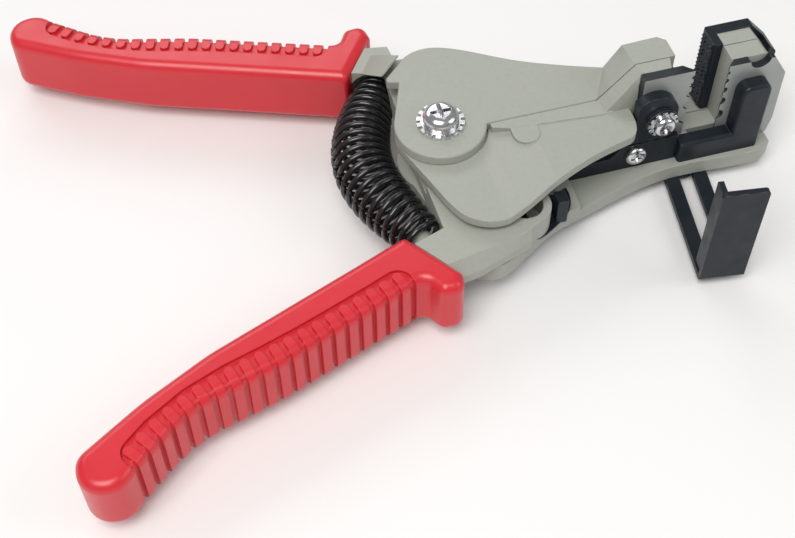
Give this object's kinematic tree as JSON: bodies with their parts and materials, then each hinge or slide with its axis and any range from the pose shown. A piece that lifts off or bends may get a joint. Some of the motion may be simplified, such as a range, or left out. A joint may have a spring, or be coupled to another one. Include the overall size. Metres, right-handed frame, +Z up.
{
  "type": "wire stripper",
  "caption": "Self-adjusting wire stripper: squeezing the sprung handles grips the wire, cuts its insulation and then swings the heads apart.",
  "frame": {"origin": "on the main pivot's axis, in the plane of the grips' undersides, at the pivot nut's flat face", "axes": "+X from the handles to the jaws, +Y from the cutting head to the gripping head, +Z up along the main pivot"},
  "size_m": [0.1769, 0.1404, 0.0333],
  "materials": {
    "cast_grey": "satin grey hammered paint on castings",
    "red_grip": "smooth moulded red plastic",
    "black_steel": "blued and oiled black steel",
    "bright_screw": "bright plated steel",
    "blade_steel": "dark ground tool steel",
    "spring_black": "glossy black spring steel"
  },
  "bodies": {
    "head_a": {"lever_a": "cast_grey", "gripper_pad": "black_steel", "gripper_pad_screw": "bright_screw", "pivot_screw": "bright_screw", "pivot_washer": "bright_screw", "pivot_sleeve": "bright_screw", "pivot_nut": "bright_screw", "pivot_spacer": "bright_screw"},
    "head_b": {"lever_b": "cast_grey", "moving_blade": "blade_steel", "moving_blade_clamp": "black_steel", "moving_blade_screw": "bright_screw", "moving_blade_washer": "bright_screw"},
    "jaw_frame_a": {"frame_a": "cast_grey", "gripper_bracket": "black_steel", "gripper_bracket_screw": "bright_screw", "drive_pin_a": "bright_screw"},
    "jaw_frame_b": {"frame_b": "cast_grey", "fixed_blade": "blade_steel", "fixed_blade_clamp": "black_steel", "fixed_blade_bolts": "bright_screw", "side_plate": "black_steel", "side_plate_screw": "bright_screw", "drive_pin_b": "bright_screw", "latch_pin": "bright_screw", "stop_screw": "black_steel", "stop_washer": "black_steel"},
    "grip_handle_a": {"handle_a": "cast_grey", "grip_a": "red_grip", "main_spring": "spring_black"},
    "grip_handle_b": {"handle_b": "cast_grey", "grip_b": "red_grip"},
    "catch": {"latch": "black_steel"},
    "stop": {"wire_stop": "black_steel"}
  },
  "joints": [
    {"name": "head_spread", "type": "hinge", "parent": "head_a", "child": "head_b", "pos_m": [0, 0, 0.016], "axis": [0, 0, 1], "range_deg": [-20, 0], "stiffness_Nm_per_rad": 0.6, "springref_deg": 2.86, "deforming": ["main_spring"]},
    {"name": "jaw_close", "type": "slide", "parent": "head_a", "child": "jaw_frame_a", "axis": [-1, 0, 0], "range_m": [0, 0.008], "stiffness_N_per_m": 2500, "springref_m": -0.003},
    {"name": "jaw_close_b", "type": "slide", "parent": "head_b", "child": "jaw_frame_b", "axis": [-1, 0, 0], "range_m": [0, 0.008]},
    {"name": "handle_turn_a", "type": "hinge", "parent": "head_a", "child": "grip_handle_a", "pos_m": [0, 0, 0.0128], "axis": [0, 0, 1], "range_deg": [0, 18.2], "deforming": ["main_spring"]},
    {"name": "handle_turn_b", "type": "hinge", "parent": "head_b", "child": "grip_handle_b", "pos_m": [0, 0, 0.0098], "axis": [0, 0, 1], "range_deg": [-18.2, 0], "deforming": ["main_spring"]},
    {"name": "latch_turn", "type": "hinge", "parent": "jaw_frame_b", "child": "catch", "pos_m": [0.022, -0.0175, 0.008], "axis": [0, 0, 1], "range_deg": [-5, 0], "stiffness_Nm_per_rad": 0.02, "springref_deg": 2.86},
    {"name": "stop_slide", "type": "slide", "parent": "jaw_frame_b", "child": "stop", "axis": [0.1392, 0.9903, 0], "range_m": [0, 0.015]}
  ],
  "couplings": [
    {"joint": "jaw_close_b", "follows": "jaw_close", "ratio": 1},
    {"joint": "handle_turn_a", "follows": "jaw_close", "rad_per_m": 39.7},
    {"joint": "handle_turn_b", "follows": "jaw_close", "rad_per_m": -39.7}
  ]
}
